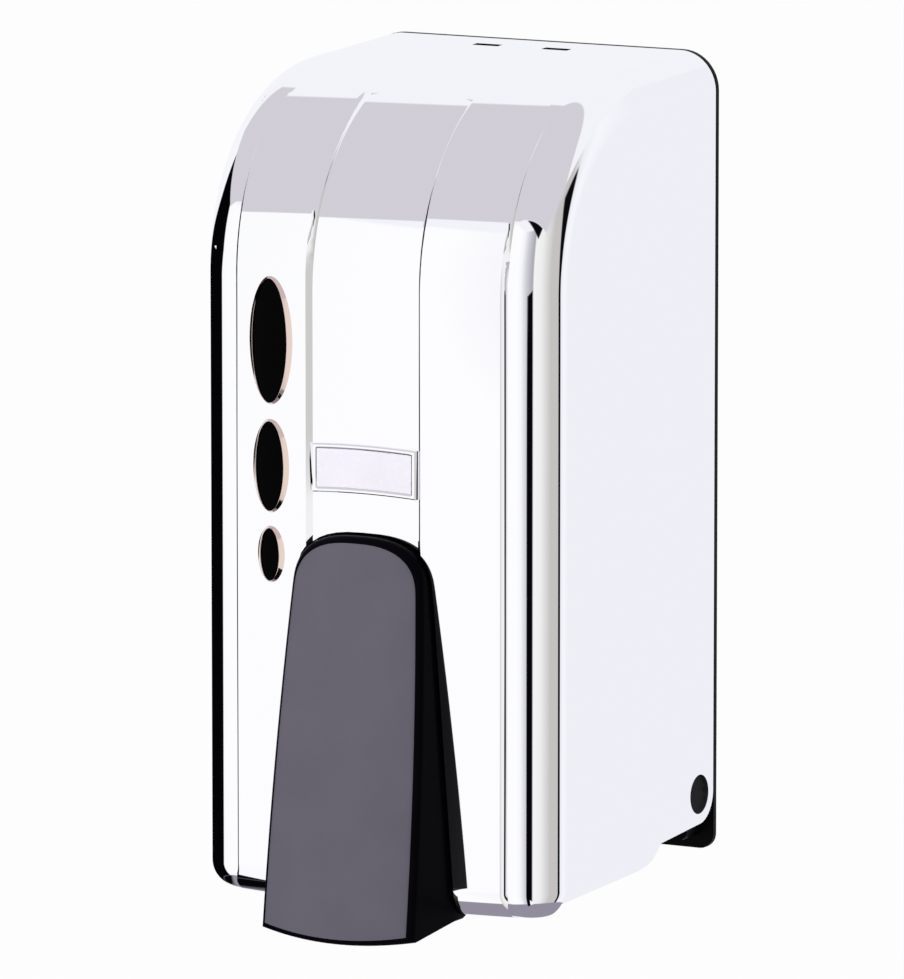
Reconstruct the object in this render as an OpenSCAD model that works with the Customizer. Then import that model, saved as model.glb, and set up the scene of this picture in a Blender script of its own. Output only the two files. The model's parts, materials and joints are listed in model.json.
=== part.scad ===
// Wall-mounted foam soap dispenser worked by a push lever, in millimetres.
// X runs to the right, Y to the wall and Z up. The wall is the plane y = 0.
// The origin lies on the wall face, midway between the four screw holes.

/* [Cover] */
// Width of the cover
cover_w = 100; // [92:1:116]
// Depth from the wall to the middle of the front
cover_d = 95; // [92:1:105]
// Lowest point of the cover's front
cover_foot = -104; // [-106:0.5:-100]
// Height of the centre of the curved top
arc_z = 53; // [50:1:60]
// Radius of the curved top
top_r = 50; // [46:1:54]
// Slope of the top, rising towards the wall, in degrees
top_slope = 2.1909; // [0:0.0001:4]
// Radius of the upright corners
corner_r = 10; // [8:0.5:10.5]
// Radius of the turned-in foot
foot_r = 7; // [5:0.5:7.5]
// Wall thickness
wall = 2.5; // [1.8:0.1:3.2]
// Radius of the gentle crown of the front, seen from above
crown_r = 213; // [180:1:400]

/* [Front] */
// Height of the two raised bands
band_h = 1.2; // [0.6:0.1:1.8]
// Inner foot of a band, from the middle
band_in = 14.9; // [13:0.1:18]
// Outer foot of a band, from the middle
band_out = 38.6; // [36:0.1:39.5]
// Width of a band's sloped edge
band_edge = 1.5; // [0.8:0.1:2.5]
// Windows' place to the left of the middle
window_x = -26.8; // [-30:0.1:-24]
// Height of the upper window
window_a = 32.2; // [24:0.2:36]
// Height of the middle window
window_b = 23.5; // [18:0.2:26]
// Height of the lower window
window_c = 14.2; // [8:0.2:16]
// How far the lens stands out of the bands in the windows
lens_out = 0.7; // [0:0.1:1.2]
// Height of the name plate
plate_h = 12.2; // [8:0.2:16]

/* [Push lever] */
// Top of the lever
lever_top = -7.7; // [-14:0.1:-4]
// Lowest point of the lever
lever_foot = -110; // [-114:0.5:-106]
// How far the lever's edge stands out at its foot
lever_out = 15.7; // [10:0.1:20]
// Half width of the lever's face at its foot
lever_half = 21.6; // [18:0.1:23]
// Rounding of the face's edge
lever_round = 2.4; // [1:0.1:3]
// Radius of the lever's axle
axle_r = 2; // [1.5:0.1:2.5]

/* [Hinge and wall] */
// Distance of the cover's hinge from the wall
hinge_y = 9.5; // [9:0.1:12]
// Height of the cover's hinge
hinge_z = -84.4; // [-88:0.1:-80]
// Radius of the hinge pins
hinge_r = 5; // [3.5:0.1:5]
// Thickness of the plate's flange on the wall
flange = 1.5; // [1:0.1:1.6]
// Radius of a screw hole
screw_r = 2.6; // [2:0.1:3.2]
// Distance between screw holes, across
screw_x = 64; // [56:1:70]
// Distance between screw holes, up and down
screw_z = 144; // [130:1:150]

/* [Tank and pump] */
// Width of the tank
tank_w = 76; // [60:1:76]
// Front of the tank, from the wall
tank_front = 72; // [60:1:74]
// Height of the pump's centre line
pump_z = -66; // [-68:0.5:-64]
// Bore of the air cylinder, as a radius
air_r = 13.5; // [11:0.1:13.6]
// Bore of the liquid cylinder, as a radius
liquid_r = 6.5; // [6.2:0.1:7]
// Radius of the spring's wire
wire_r = 0.5; // [0.4:0.05:0.6]
// Turns of the spring
spring_turns = 4; // [3:1:5]

/* [Hidden] */
$fn = 72;

chrome = [0.82, 0.83, 0.85];
black = [0.06, 0.06, 0.07];
lever_grey = [0.36, 0.35, 0.39];
milky = [0.90, 0.91, 0.90];
white = [0.93, 0.93, 0.92];
steel = [0.70, 0.71, 0.73];
smoke = [0.05, 0.05, 0.06];
rubber = [0.12, 0.12, 0.13];

rear_gap = 0.3;
cover_rear = -flange - rear_gap;
half_w = cover_w / 2;
// Lengths that meet face to face are kept to a hundredth of a millimetre
function hundredth(v) = round(100 * v) / 100;
// The corners' flat front lies where the crown meets the bands' outer foot
flat_d = hundredth(cover_d - crown_r + sqrt(crown_r * crown_r - band_out * band_out));
// The middle strip lies this far from the wall at the bands' inner foot
strip_d = hundredth(cover_d - crown_r + sqrt(crown_r * crown_r - band_in * band_in));
arc_y = top_r - flat_d;
crown_y = crown_r - cover_d;
// Height of the top at the wall
top_wall = hundredth(arc_z + (top_r - arc_y * sin(top_slope)) / cos(top_slope));
lobe_r = hinge_y + cover_rear;
window_zs = [cover_foot + 141.8, cover_foot + 110.2, cover_foot + 87.9];
window_hs = [window_a, window_b, window_c];
window_ws = [13.2, 11.1, 8.3];
plate_z = cover_foot + 111.3;
slot_x = 9.9;
slot_y = -12;

pivot_y = 8 - cover_d;
pivot_z = lever_top - 6.3;
lug_x = 19.2;
lug_t = 2.8;
liquid_end = -15.5;
inlet_y = -24;
air_end = -44;
pump_front = -64;
cap_front = -67.5;
head_rear = -81;
head_front = -89;
tank_bottom = -29.5;
tank_top = 72;

// Draws a flat shape in X and Z and gives it a thickness from y0 towards the front
module upright(y0, t) {
    translate([0, y0, 0]) rotate([90, 0, 0]) linear_extrude(t) children();
}

// A cylinder along Y from y0 towards the front
module along_y(r, y0, y1, z = pump_z) {
    translate([0, y0, z]) rotate([90, 0, 0]) cylinder(r = r, h = y0 - y1);
}

// A cylinder along X between two places
module along_x(r, x0, x1, y, z) {
    translate([x0, y, z]) rotate([0, 90, 0]) cylinder(r = r, h = x1 - x0);
}

// A rectangle with round corners made of circles and squares, so that its arcs stay true
module rounded(x, y0, y1, r_low, r_high) {
    translate([-x, y0 + r_low]) square([2 * x, y1 - y0 - r_low - r_high]);
    translate([-x + r_low, y0]) square([2 * (x - r_low), r_low]);
    translate([-x + r_high, y1 - r_high]) square([2 * (x - r_high), r_high]);
    for (s = [-1, 1]) {
        translate([s * (x - r_low), y0 + r_low]) circle(r = r_low);
        translate([s * (x - r_high), y1 - r_high]) circle(r = r_high);
    }
}

// The cover's section across its front or top: distance out from an axis, and width
module section(inset, axis_r, below = 0) {
    mid = axis_r - corner_r;
    translate([-below, inset - half_w]) square([mid + below, cover_w - 2 * inset]);
    translate([0, corner_r - half_w]) square([axis_r - inset, cover_w - 2 * corner_r]);
    intersection() {
        for (s = [-1, 1]) translate([mid, s * (half_w - corner_r)]) circle(r = corner_r - inset);
        translate([0, -half_w]) square([axis_r, cover_w]);
    }
}

// The edge of the foot: distance out from the corners' centres, and height
module foot_profile(inset) {
    flat = corner_r - foot_r;
    translate([0, cover_foot + inset]) square([flat, foot_r - inset]);
    intersection() {
        translate([flat, cover_foot + foot_r]) circle(r = foot_r - inset);
        translate([flat, cover_foot]) square([foot_r, foot_r]);
    }
}

// The turned-in foot: one fillet that runs along the sides, round the corners and across the front
module foot(inset, rear) {
    mid_x = half_w - corner_r;
    mid_y = corner_r - flat_d;
    translate([-mid_x, mid_y, cover_foot + inset]) cube([2 * mid_x, rear - mid_y, foot_r - inset]);
    translate([mid_x, mid_y, 0]) rotate([90, 0, -90]) linear_extrude(2 * mid_x) foot_profile(inset);
    for (s = [0, 1]) mirror([s, 0, 0]) {
        translate([mid_x, rear, 0]) rotate([90, 0, 0]) linear_extrude(rear - mid_y) foot_profile(inset);
        translate([mid_x, mid_y, 0]) rotate(-90) rotate_extrude(angle = 90) foot_profile(inset);
    }
}

// The swept shell: turned-in foot, upright front, curved top and sloped top meet face to face
module swept(inset, rear) {
    foot_z = cover_foot + foot_r;
    mid_y = corner_r - flat_d;
    foot(inset, rear);
    translate([0, 0, foot_z]) linear_extrude(arc_z - foot_z) {
        translate([inset - half_w, mid_y]) square([cover_w - 2 * inset, rear - mid_y]);
        translate([corner_r - half_w, inset - flat_d]) square([cover_w - 2 * corner_r, corner_r - inset]);
        for (s = [-1, 1]) translate([s * (half_w - corner_r), mid_y]) circle(r = corner_r - inset);
    }
    translate([0, arc_y, arc_z]) rotate([90, 0, -90])
        rotate_extrude(angle = 90 - top_slope) section(inset, top_r);
    translate([0, arc_y, arc_z]) rotate([90 - top_slope, 0, 180]) linear_extrude(rear - arc_y + 6)
        rotate(90) section(inset, top_r, 12);
}

// A crowned body turned about an upright axis behind the wall: front, curved top and foot
module crowned(out, drop) {
    front = crown_r + out;
    back = front - top_r + 4;
    low = cover_foot + foot_r;
    high = arc_z - drop;
    translate([0, crown_y, 0]) rotate(-102) rotate_extrude(angle = 24) {
        translate([back, low]) square([front - back, high - low]);
        translate([back, cover_foot]) square([front - foot_r - back, foot_r]);
        intersection() {
            translate([front - foot_r, low]) circle(r = foot_r);
            translate([front - foot_r, cover_foot]) square([foot_r, foot_r]);
        }
        intersection() {
            translate([front - top_r, high]) circle(r = top_r);
            translate([back, high]) square([front - back, top_r]);
        }
    }
}

// A ring of wall turned about the same axis, between two distances in front of the crown
module crowned_sheet(in, out, z0, z1) {
    translate([0, crown_y, 0]) rotate(-102) rotate_extrude(angle = 24)
        translate([crown_r + in, z0]) square([out - in, z1 - z0]);
}

// Trims the bands along a sloped edge: upright below a height, then turned over the curved top.
// The edge is drawn as distance from an axis across the cover, and place across
module edge_trim(side, axis_y, axis_z, points) {
    plan = [for (p = points) [side * p[0], axis_y - p[1]]];
    translate([0, 0, cover_foot - 5]) linear_extrude(axis_z - cover_foot + 5) polygon(plan);
    translate([0, axis_y, axis_z]) rotate([90, 0, -90]) rotate_extrude(angle = 90)
        polygon([for (p = points) [p[1], -side * p[0]]]);
}

// One raised band, with the same edges up the front and over the top
module band(side) {
    intersection() {
        crowned(band_h, 0.6);
        edge_trim(side, top_r - strip_d, arc_z - 1.05, [[band_in - 4, 20], [60, 20], [60, top_r + 4],
            [band_in + 4 * band_edge / band_h, top_r + 4], [band_in - 4, top_r - 4 * band_h / band_edge]]);
        edge_trim(side, arc_y, arc_z, [[5, 20], [band_out, 20], [band_out, top_r],
            [band_out - 6, top_r + 6], [5, top_r + 6]]);
    }
}

module outer() {
    swept(0, cover_rear + 3);
    intersection() {
        crowned(0, 1.5);
        translate([-band_in - 1, -cover_d - 5, cover_foot - 5])
            cube([2 * band_in + 2, cover_d, arc_z + top_r - cover_foot + 10]);
    }
    for (side = [-1, 1]) band(side);
}

module oval(w, h) {
    scale([w / 2, h / 2]) circle(r = 1);
}

// The cover: chrome-plated shell with its windows, lever cut-out, key slots and hinge holes
module cover() color(chrome) {
    difference() {
        outer();
        swept(wall, 6);
        intersection() {
            crowned(-wall, 4);
            translate([4 - band_out, -cover_d, cover_foot + wall])
                cube([2 * band_out - 8, cover_d, arc_z + top_r - cover_foot]);
        }
        // The rear is cut square to the wall
        translate([-cover_w, cover_rear, -200]) cube([2 * cover_w, 40, 400]);
        // The bottom is open, and the sides' edge rises towards the wall
        translate([9 - half_w, 7.5 - flat_d, cover_foot - 10]) cube([cover_w - 18, cover_d, 20]);
        translate([-cover_w, 0, 0]) rotate([90, 0, 90]) linear_extrude(2 * cover_w)
            polygon([[-hinge_y, hinge_z - lobe_r], [-hinge_y - 21, hinge_z - lobe_r - 1.4],
                [-hinge_y - 23, hinge_z - lobe_r - 2.9], [-hinge_y - 25.5, cover_foot + 7.1],
                [-hinge_y - 28.5, cover_foot + 6.1], [-hinge_y - 33.5, cover_foot + 5.4],
                [8.5 - flat_d, cover_foot + 4], [5.5 - flat_d, cover_foot - 20],
                [-hinge_y, cover_foot - 20]]);
        difference() {
            translate([-cover_w, -hinge_y, hinge_z - 40]) cube([2 * cover_w, 40, 40]);
            along_x(lobe_r, -cover_w, cover_w, -hinge_y, hinge_z);
        }
        for (i = [0:2]) translate([window_x, 0, window_zs[i]]) upright(-flat_d + 12, 30)
            oval(window_ws[i], window_hs[i]);
        upright(-flat_d + 12, 30) lever_opening();
        for (side = [-1, 1]) {
            translate([side * slot_x - 3.7, slot_y - 1.4, arc_z]) cube([7.4, 2.8, top_r + 10]);
            along_x(hinge_r + 0.05, side > 0 ? half_w - 8 : -half_w - 8,
                side > 0 ? half_w + 8 : 8 - half_w, -hinge_y, hinge_z);
        }
    }
    for (side = [-1, 1]) axle_lug(side);
    translate([-6, -21.5, arc_z + 39]) cube([12, 2.5, 10.2]);
}

// A lug on the inside of the front that carries one end of the lever's axle
module axle_lug(side) {
    x0 = side > 0 ? lug_x : -lug_x - lug_t;
    difference() {
        union() {
            along_x(5, x0, x0 + lug_t, pivot_y, pivot_z);
            translate([x0, 0.2 + wall - cover_d, pivot_z - 5])
                cube([lug_t, pivot_y + cover_d - wall - 0.2, 10]);
        }
        along_x(axle_r + 0.05, x0 - 1, x0 + lug_t + 1, pivot_y, pivot_z);
    }
}

// The lens: smoked strip on the inside of the wall, with a boss that fills each of the three windows
module window_lens() color(smoke) {
    low = window_zs[2] - 12;
    for (i = [0:2]) intersection() {
        crowned(band_h + lens_out, 0.6);
        translate([window_x, 0, window_zs[i]]) upright(5.5 - cover_d, 20)
            oval(window_ws[i] - 0.3, window_hs[i] - 0.3);
    }
    difference() {
        intersection() {
            difference() {
                crowned(-wall - 0.2, 4);
                crowned(-wall - 2.2, 4);
            }
            translate([4.6 - band_out, -cover_d, low]) cube([15.6, cover_d, window_zs[0] + 21 - low]);
        }
        // Corner left free for the lug of the lever's axle
        translate([-lug_x - lug_t - 0.4, -cover_d, low - 1]) cube([20, cover_d, pivot_z + 9 - low]);
    }
}

// The name plate: bare plate with arched edges and a raised rim, in the centre strip
module plate_shape(inset) {
    arch = 204;
    intersection() {
        translate([inset + 0.3 - band_in, -plate_h]) square([2 * (band_in - 0.3 - inset), 2 * plate_h]);
        difference() {
            translate([0, plate_h / 2 - inset - arch]) circle(r = arch, $fn = 180);
            translate([0, inset - plate_h / 2 - arch]) circle(r = arch, $fn = 180);
        }
    }
}

module name_plate() color(chrome) {
    difference() {
        intersection() {
            crowned_sheet(0.05, 0.95, plate_z - plate_h, plate_z + plate_h);
            translate([0, 0, plate_z]) upright(-cover_d + 10, 20) plate_shape(0);
        }
        intersection() {
            crowned_sheet(0.55, 3, plate_z - plate_h, plate_z + plate_h);
            translate([0, 0, plate_z]) upright(-cover_d + 10, 20) plate_shape(1);
        }
    }
}

// Half width of the lever's face and of its foot in the cover's front, at a height
function face_half(z) = lever_half - 4 * pow(max(0, (z - lever_foot) / (lever_top - lever_foot)), 2);
function root_half(z) = lever_half + 3.6 - 7.2 * (z - lever_foot) / (lever_top - lever_foot);
// How far the face's edge stands in front of the cover at a height
function stand(z) = 2.7 + (lever_out - 2.7) * (lever_top - z) / (lever_top - lever_foot);
// The arch that closes the top of the outline
arch_h = 12.5;
function arch(z) = let(t = max(0, (z - lever_top + arch_h) / arch_h)) pow(max(0, 1 - pow(t, 2.6)), 1 / 2.6);
// Heights up one side of the outline, closer together round the arch
side_n = 9;
arch_n = 10;
function side_z(i, low, high) = i <= side_n ? low + (high - arch_h - low) * i / side_n
    : high - arch_h + arch_h * pow(sin(90 * (i - side_n) / arch_n), 0.9);

// One closed outline in X and Z, round the face (grow 0) or the root (grow 1)
function outline(grow, low, top_trim) = let(
    high = lever_top - top_trim,
    half = function(z) (1 - grow) * face_half(z) + grow * root_half(z),
    right = [for (i = [0:side_n + arch_n - 1]) let(z = side_z(i, low + 2, high))
        [half(z) * arch(z + top_trim), z]],
    foot_w = half(low + 2),
    foot = [for (i = [1:7]) let(x = foot_w * (i / 4 - 1)) [x, low + 2 * pow(x / foot_w, 2)]])
    concat(right, [[0, high]], [for (i = [len(right) - 1:-1:0]) [-right[i][0], right[i][1]]], foot);

// An outline drawn in by an amount, towards the lever's middle
function drawn_in(o, d) = let(zc = (lever_top + lever_foot) / 2, zh = (lever_top - lever_foot) / 2)
    [for (p = o) [p[0] * (1 - d / lever_half), zc + (p[1] - zc) * (1 - d / zh)]];
// The face: sloped from top to foot and crowned across
function face_y(x, z) = -cover_d - stand(z) - 2 + 2 * pow(x / lever_half, 2);
// The lever's rear edge, a plane that leans with the lever
function rear_y(z) = pivot_y + 6.5 - 5.5 * (lever_top - z) / (lever_top - lever_foot);

// A skin over rings of points, closed at both ends
module skin(rings) {
    n = len(rings[0]);
    m = len(rings);
    points = [for (r = rings) for (p = r) p];
    sides = [for (k = [0:m - 2]) for (i = [0:n - 1]) let(a = k * n + i, b = k * n + (i + 1) % n)
        each [[a, a + n, b], [b, a + n, b + n]]];
    polyhedron(points, concat([[for (i = [0:n - 1]) i]], sides, [[for (i = [n - 1:-1:0]) (m - 1) * n + i]]));
}

// The skirt widens a little behind the cover's front, so that no gap shows beside the lever
function ramp(v) = max(0, min(1, v));
function flared(p) = p[0] * (1 + 0.06 * ramp((p[1] - cover_foot - foot_r + 1) / 6)
    * ramp((pivot_z - 8 - p[1]) / 6));

// The lever's hollow shell as one skin: inside of the face, inside of the skirt, rim, outside and face
module lever_shell() {
    t = 2.6;
    root = outline(1, lever_foot + 3.2, 0.2);
    rim = outline(1, lever_foot + 4.4, 0.2);
    face = outline(0, lever_foot, 0);
    inner = drawn_in(root, t);
    rim_in = drawn_in(rim, t);
    front = 1 - cover_d;
    flare_y = 4.7 - cover_d;
    fillet = [for (a = [0:18:90]) [lever_round * (1 - cos(a)), lever_round * (1 - sin(a))]];
    skin(concat(
        [for (d = [20.5, 15, 9, t]) [for (p = drawn_in(face, d)) [p[0], face_y(p[0], p[1]) + t + 0.1, p[1]]]],
        [[for (p = inner) [p[0], front, p[1]]], [for (p = rim_in) [flared(p), rear_y(p[1]), p[1]]]],
        [[for (p = rim) [flared(p), rear_y(p[1]), p[1]]], [for (p = root) [flared(p), flare_y + 0.8, p[1]]],
            [for (p = root) [p[0], flare_y, p[1]]], [for (p = root) [p[0], front, p[1]]]],
        [for (f = fillet) [for (p = drawn_in(face, f[0])) [p[0], face_y(p[0], p[1]) + f[1], p[1]]]],
        [for (d = [5, 9, 14, 20.5]) [for (p = drawn_in(face, d)) [p[0], face_y(p[0], p[1]), p[1]]]]));
}

// The cut-out in the cover's front that the lever moves through
module lever_opening() {
    o = outline(1, lever_foot - 20, 0.2);
    polygon([for (p = o) let(k = 1 + 0.6 / lever_half) [p[0] * k, p[1] + (p[1] > lever_top - 8 ? 0.7 : 0)]]);
}

// The push lever: tapered, crowned and hollow, with an open foot for the foam
module push_lever() color(lever_grey) {
    difference() {
        lever_shell();
        along_x(axle_r, -40, 40, pivot_y, pivot_z);
        translate([-17, 3 - cover_d - lever_out, lever_foot - 5]) cube([34, lever_out + 30, 12]);
    }
}

module lever_axle() color(steel) {
    along_x(axle_r, 0.3 - lug_x - lug_t, lug_x + lug_t - 0.3, pivot_y, pivot_z);
}

// The pad: stalk on the inside of the face, with a rounded nose that meets the pump head
module lever_pad() color(white) {
    inside = function(z) face_y(0, z) + 2.85;
    intersection() {
        translate([-5, head_front - 3.4, pump_z - 5]) cube([10, 3, 10]);
        along_x(8, -6, 6, head_front - 8.4, pump_z);
    }
    translate([-3, 0, 0]) rotate([90, 0, 90]) linear_extrude(6)
        polygon([[head_front - 3, pump_z - 4], [head_front - 3, pump_z + 4],
            [inside(pump_z + 4), pump_z + 4], [inside(pump_z - 4), pump_z - 4]]);
}

// The back plate: flange on the wall, tray floor and rim, hinge ears, tank shelf and pump stop
module back_plate() color(black) {
    difference() {
        union() {
            upright(0, flange) rounded(half_w, cover_foot + 4, top_wall, 4, corner_r);
            upright(0, 3)
                rounded(half_w - wall - 0.7, cover_foot + 7, top_wall - wall - 1, 3, corner_r - 3);
            upright(0, 10) difference() {
                rounded(half_w - wall - 0.7, cover_foot + 7, top_wall - wall - 1, 3, corner_r - 3);
                rounded(half_w - wall - 2.7, cover_foot + 9, top_wall - wall - 3, 2, corner_r - 5);
            }
            for (side = [-1, 1]) {
                ear_x = side > 0 ? half_w - 8.5 : 3.3 - half_w;
                along_x(hinge_r + 2.4, ear_x, ear_x + 5.2, -hinge_y, hinge_z);
                translate([ear_x, -hinge_y, hinge_z - hinge_r - 2.4])
                    cube([5.2, hinge_y - 1, 2 * hinge_r + 4.8]);
                shelf_x = side > 0 ? 18 : -26;
                translate([shelf_x, -60, tank_bottom - 3.6]) cube([8, 58, 3.5]);
                translate([side > 0 ? 21 : -23, 0, 0]) rotate([90, 0, 90]) linear_extrude(2)
                    polygon([[-2, tank_bottom - 2], [-48, tank_bottom - 2], [-2, tank_bottom - 34]]);
                translate([side * (tank_w / 2 + 1.4) - 1, -14, tank_bottom]) cube([2, 12, 90]);
                translate([side * 22.7 - 1.3, -17, 80]) cube([2.6, 15, 14]);
            }
            translate([-24, -16, 80]) cube([48, 14, 2.2]);
            along_y(7, -1, -12.8);
        }
        for (x = [-1, 1], z = [-1, 1]) translate([x * screw_x / 2, 5, z * screw_z / 2])
            rotate([90, 0, 0]) cylinder(r = screw_r, h = 12);
        for (side = [-1, 1]) along_x(hinge_r, side > 0 ? half_w - 10 : -half_w,
            side > 0 ? half_w : 10 - half_w, -hinge_y, hinge_z);
    }
}

module hinge_pin_left() color(black) {
    along_x(hinge_r, 0.8 - half_w, 8.5 - half_w, -hinge_y, hinge_z);
}

module hinge_pin_right() color(black) {
    along_x(hinge_r, half_w - 8.5, half_w - 0.8, -hinge_y, hinge_z);
}

// The latch: bar with two key tongues under the cover's slots and a nose behind the cover's catch
module latch_bar() color(black) {
    translate([-21, -15, 86]) cube([42, 8, 4]);
    for (side = [-1, 1]) translate([side * slot_x - 3.2, slot_y - 1.2, 88]) cube([6.4, 2.4, 12.6]);
    translate([-5, 0, 0]) rotate([90, 0, 90]) linear_extrude(10)
        polygon([[-14, 86], [-18, 86], [-18, 88.5], [-15, 92], [-14, 92]]);
}

module tank_outline(inset) {
    translate([0, -tank_front])
        rounded(tank_w / 2 - inset, inset, tank_front - 9 - inset, 7 - inset, 7 - inset);
}

// The tank: open box with a neck at the foot
module tank() color(milky, 0.6) {
    difference() {
        union() {
            translate([0, 0, tank_bottom]) linear_extrude(tank_top - tank_bottom) tank_outline(0);
            translate([0, inlet_y, tank_bottom - 11.5]) cylinder(r = 12, h = 13);
        }
        translate([0, 0, tank_bottom + 1.8]) linear_extrude(tank_top - tank_bottom) tank_outline(1.8);
        translate([0, inlet_y, tank_bottom - 20]) cylinder(r = 9.5, h = 30);
    }
}

module lid_gasket() color(rubber) {
    translate([0, 0, tank_top + 0.05]) linear_extrude(0.9) difference() {
        tank_outline(0.1);
        tank_outline(1.7);
    }
}

// The lid: cap with a skirt over the tank's rim, a raised grip and a small air hole
module tank_lid() color(milky, 0.8) {
    difference() {
        union() {
            translate([0, 0, tank_top - 6]) linear_extrude(9.4) tank_outline(-1.6);
            translate([-14, -tank_front / 2 - 6, tank_top + 3]) cube([28, 4, 4.2]);
        }
        translate([0, 0, tank_top - 7]) linear_extrude(8) tank_outline(-0.2);
        translate([0, -tank_front / 2 + 8, tank_top]) cylinder(r = 1, h = 10);
    }
}

module pump_gasket() color(rubber) {
    translate([0, inlet_y, tank_bottom - 13]) difference() {
        cylinder(r = 11.8, h = 1.45);
        translate([0, 0, -1]) cylinder(r = 6, h = 4);
    }
}

// The collar: ribbed ring nut that holds the pump to the tank's neck
module pump_collar() color(white) {
    translate([0, inlet_y, tank_bottom - 18]) difference() {
        union() {
            cylinder(r = 15.2, h = 16);
            for (i = [0:23]) rotate(15 * i) translate([14.6, -0.8, 0.8]) cube([1.4, 1.6, 14.4]);
        }
        translate([0, 0, 2.4]) cylinder(r = 12.1, h = 20);
        translate([0, 0, -1]) cylinder(r = 9, h = 20);
    }
}

// The pump body: air cylinder, liquid cylinder and the inlet with its valve chamber
module pump_body() color(white) {
    difference() {
        union() {
            along_y(9, -13, air_end - 1);
            along_y(air_r + 2.5, air_end + 2.4, pump_front);
            translate([0, inlet_y, pump_z]) cylinder(r = 8.4, h = tank_bottom - 13.1 - pump_z);
            translate([0, inlet_y, tank_bottom - 15.5]) cylinder(r = 11.8, h = 2.4);
        }
        along_y(liquid_r, liquid_end, air_end - 5);
        along_y(air_r, air_end, pump_front - 5);
        translate([0, inlet_y, pump_z]) cylinder(r = 2.2, h = 60);
        translate([0, inlet_y, pump_z + 9.5]) cylinder(r = 3.6, h = 7);
        translate([0, inlet_y, pump_z + 18.5]) cylinder(r = 5.5, h = 30);
    }
}

module inlet_ball() color(steel) {
    translate([0, inlet_y, pump_z + 11.8]) sphere(r = 3);
}

// The end cap: closes the air cylinder and guides the stem
module pump_end_cap() color(white) {
    difference() {
        along_y(air_r + 2.5, pump_front - 0.1, cap_front);
        along_y(6.05, 0, -90);
        for (i = [0:5]) translate([0, 0, pump_z]) rotate([0, 60 * i, 0]) translate([10, -60, 0])
            rotate([90, 0, 0]) cylinder(r = 1, h = 10);
    }
}

// The stem: hollow rod with the air piston's disc and the liquid seal's groove
module pump_stem() color(white) {
    difference() {
        union() {
            along_y(6, -37, head_rear - 5);
            along_y(12, -54, -57);
        }
        along_y(3.2, -30, -95);
        difference() {
            along_y(7, -38.2, -40.8);
            along_y(5, -30, -50);
        }
    }
}

module liquid_seal() color(rubber) {
    difference() {
        along_y(liquid_r - 0.05, -38.25, -40.75);
        along_y(5, -30, -50);
    }
}

module air_seal() color(rubber) {
    difference() {
        along_y(air_r - 0.05, -54.2, -56.8);
        along_y(12, -30, -70);
    }
}

// The head: pad that the lever meets, with the foam outlet turned down
module pump_head() color(white) {
    difference() {
        union() {
            along_y(8, head_rear, head_front);
            along_y(11, head_rear, head_rear - 1.6);
            translate([0, head_rear - 4, pump_z - 28]) cylinder(r = 4, h = 28);
        }
        along_y(6, head_rear + 5, head_rear - 5);
        along_y(3, head_rear, head_front + 1.6);
        translate([0, head_rear - 4, pump_z - 40]) cylinder(r = 2.8, h = 40);
    }
}

module foam_sleeve() color(milky) {
    difference() {
        along_y(3.2, -68.4, -79.6);
        along_y(2.5, -60, -90);
    }
}

module foam_screen_rear() color(steel) {
    along_y(3.2, -67.8, -68.3);
}

module foam_screen_front() color(steel) {
    along_y(3.2, -79.7, -80.2);
}

// The return spring: one unbroken round wire, straight at both ends for a wire's thickness
coil_r = 9;
spring_y0 = cap_front - 0.2 - wire_r;
spring_len = spring_y0 - head_rear + 1.6 - 1.8 - wire_r;
rings_per_turn = 8;
coil_n = spring_turns * rings_per_turn;
function coil_at(t) = [coil_r * cos(360 * t), spring_y0 - spring_len * t / spring_turns,
    pump_z + coil_r * sin(360 * t)];
function unit(v) = v / norm(v);
function coil_way(t) = unit([-2 * PI * coil_r * sin(360 * t), -spring_len / spring_turns,
    2 * PI * coil_r * cos(360 * t)]);
coil_path = concat([coil_at(0) - 2 * wire_r * coil_way(0)],
    [for (i = [0:coil_n]) coil_at(i / rings_per_turn)],
    [coil_at(spring_turns) + 2 * wire_r * coil_way(spring_turns)]);
coil_ways = concat([coil_way(0)], [for (i = [0:coil_n]) coil_way(i / rings_per_turn)],
    [coil_way(spring_turns)]);
spring_gap = min([for (i = [0:len(coil_path) - 1], j = [0:len(coil_path) - 1]) if (j - i >= 5)
    norm(coil_path[i] - coil_path[j])]) - 2 * wire_r;
echo(spring_gap = spring_gap);

module pump_spring() color(steel) {
    skin([for (k = [0:len(coil_path) - 1]) let(w = coil_ways[k],
        n = unit(cross(w, [0, 1, 0])), b = cross(w, n))
        [for (i = [0:5]) coil_path[k] + wire_r * (cos(60 * i) * n + sin(60 * i) * b)]]);
}

back_plate();
hinge_pin_left();
hinge_pin_right();
latch_bar();
tank();
lid_gasket();
tank_lid();
pump_gasket();
pump_collar();
pump_body();
inlet_ball();
pump_end_cap();
pump_spring();
pump_stem();
liquid_seal();
air_seal();
pump_head();
foam_sleeve();
foam_screen_rear();
foam_screen_front();
cover();
window_lens();
name_plate();
push_lever();
lever_axle();
lever_pad();
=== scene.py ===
import json
import math

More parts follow.
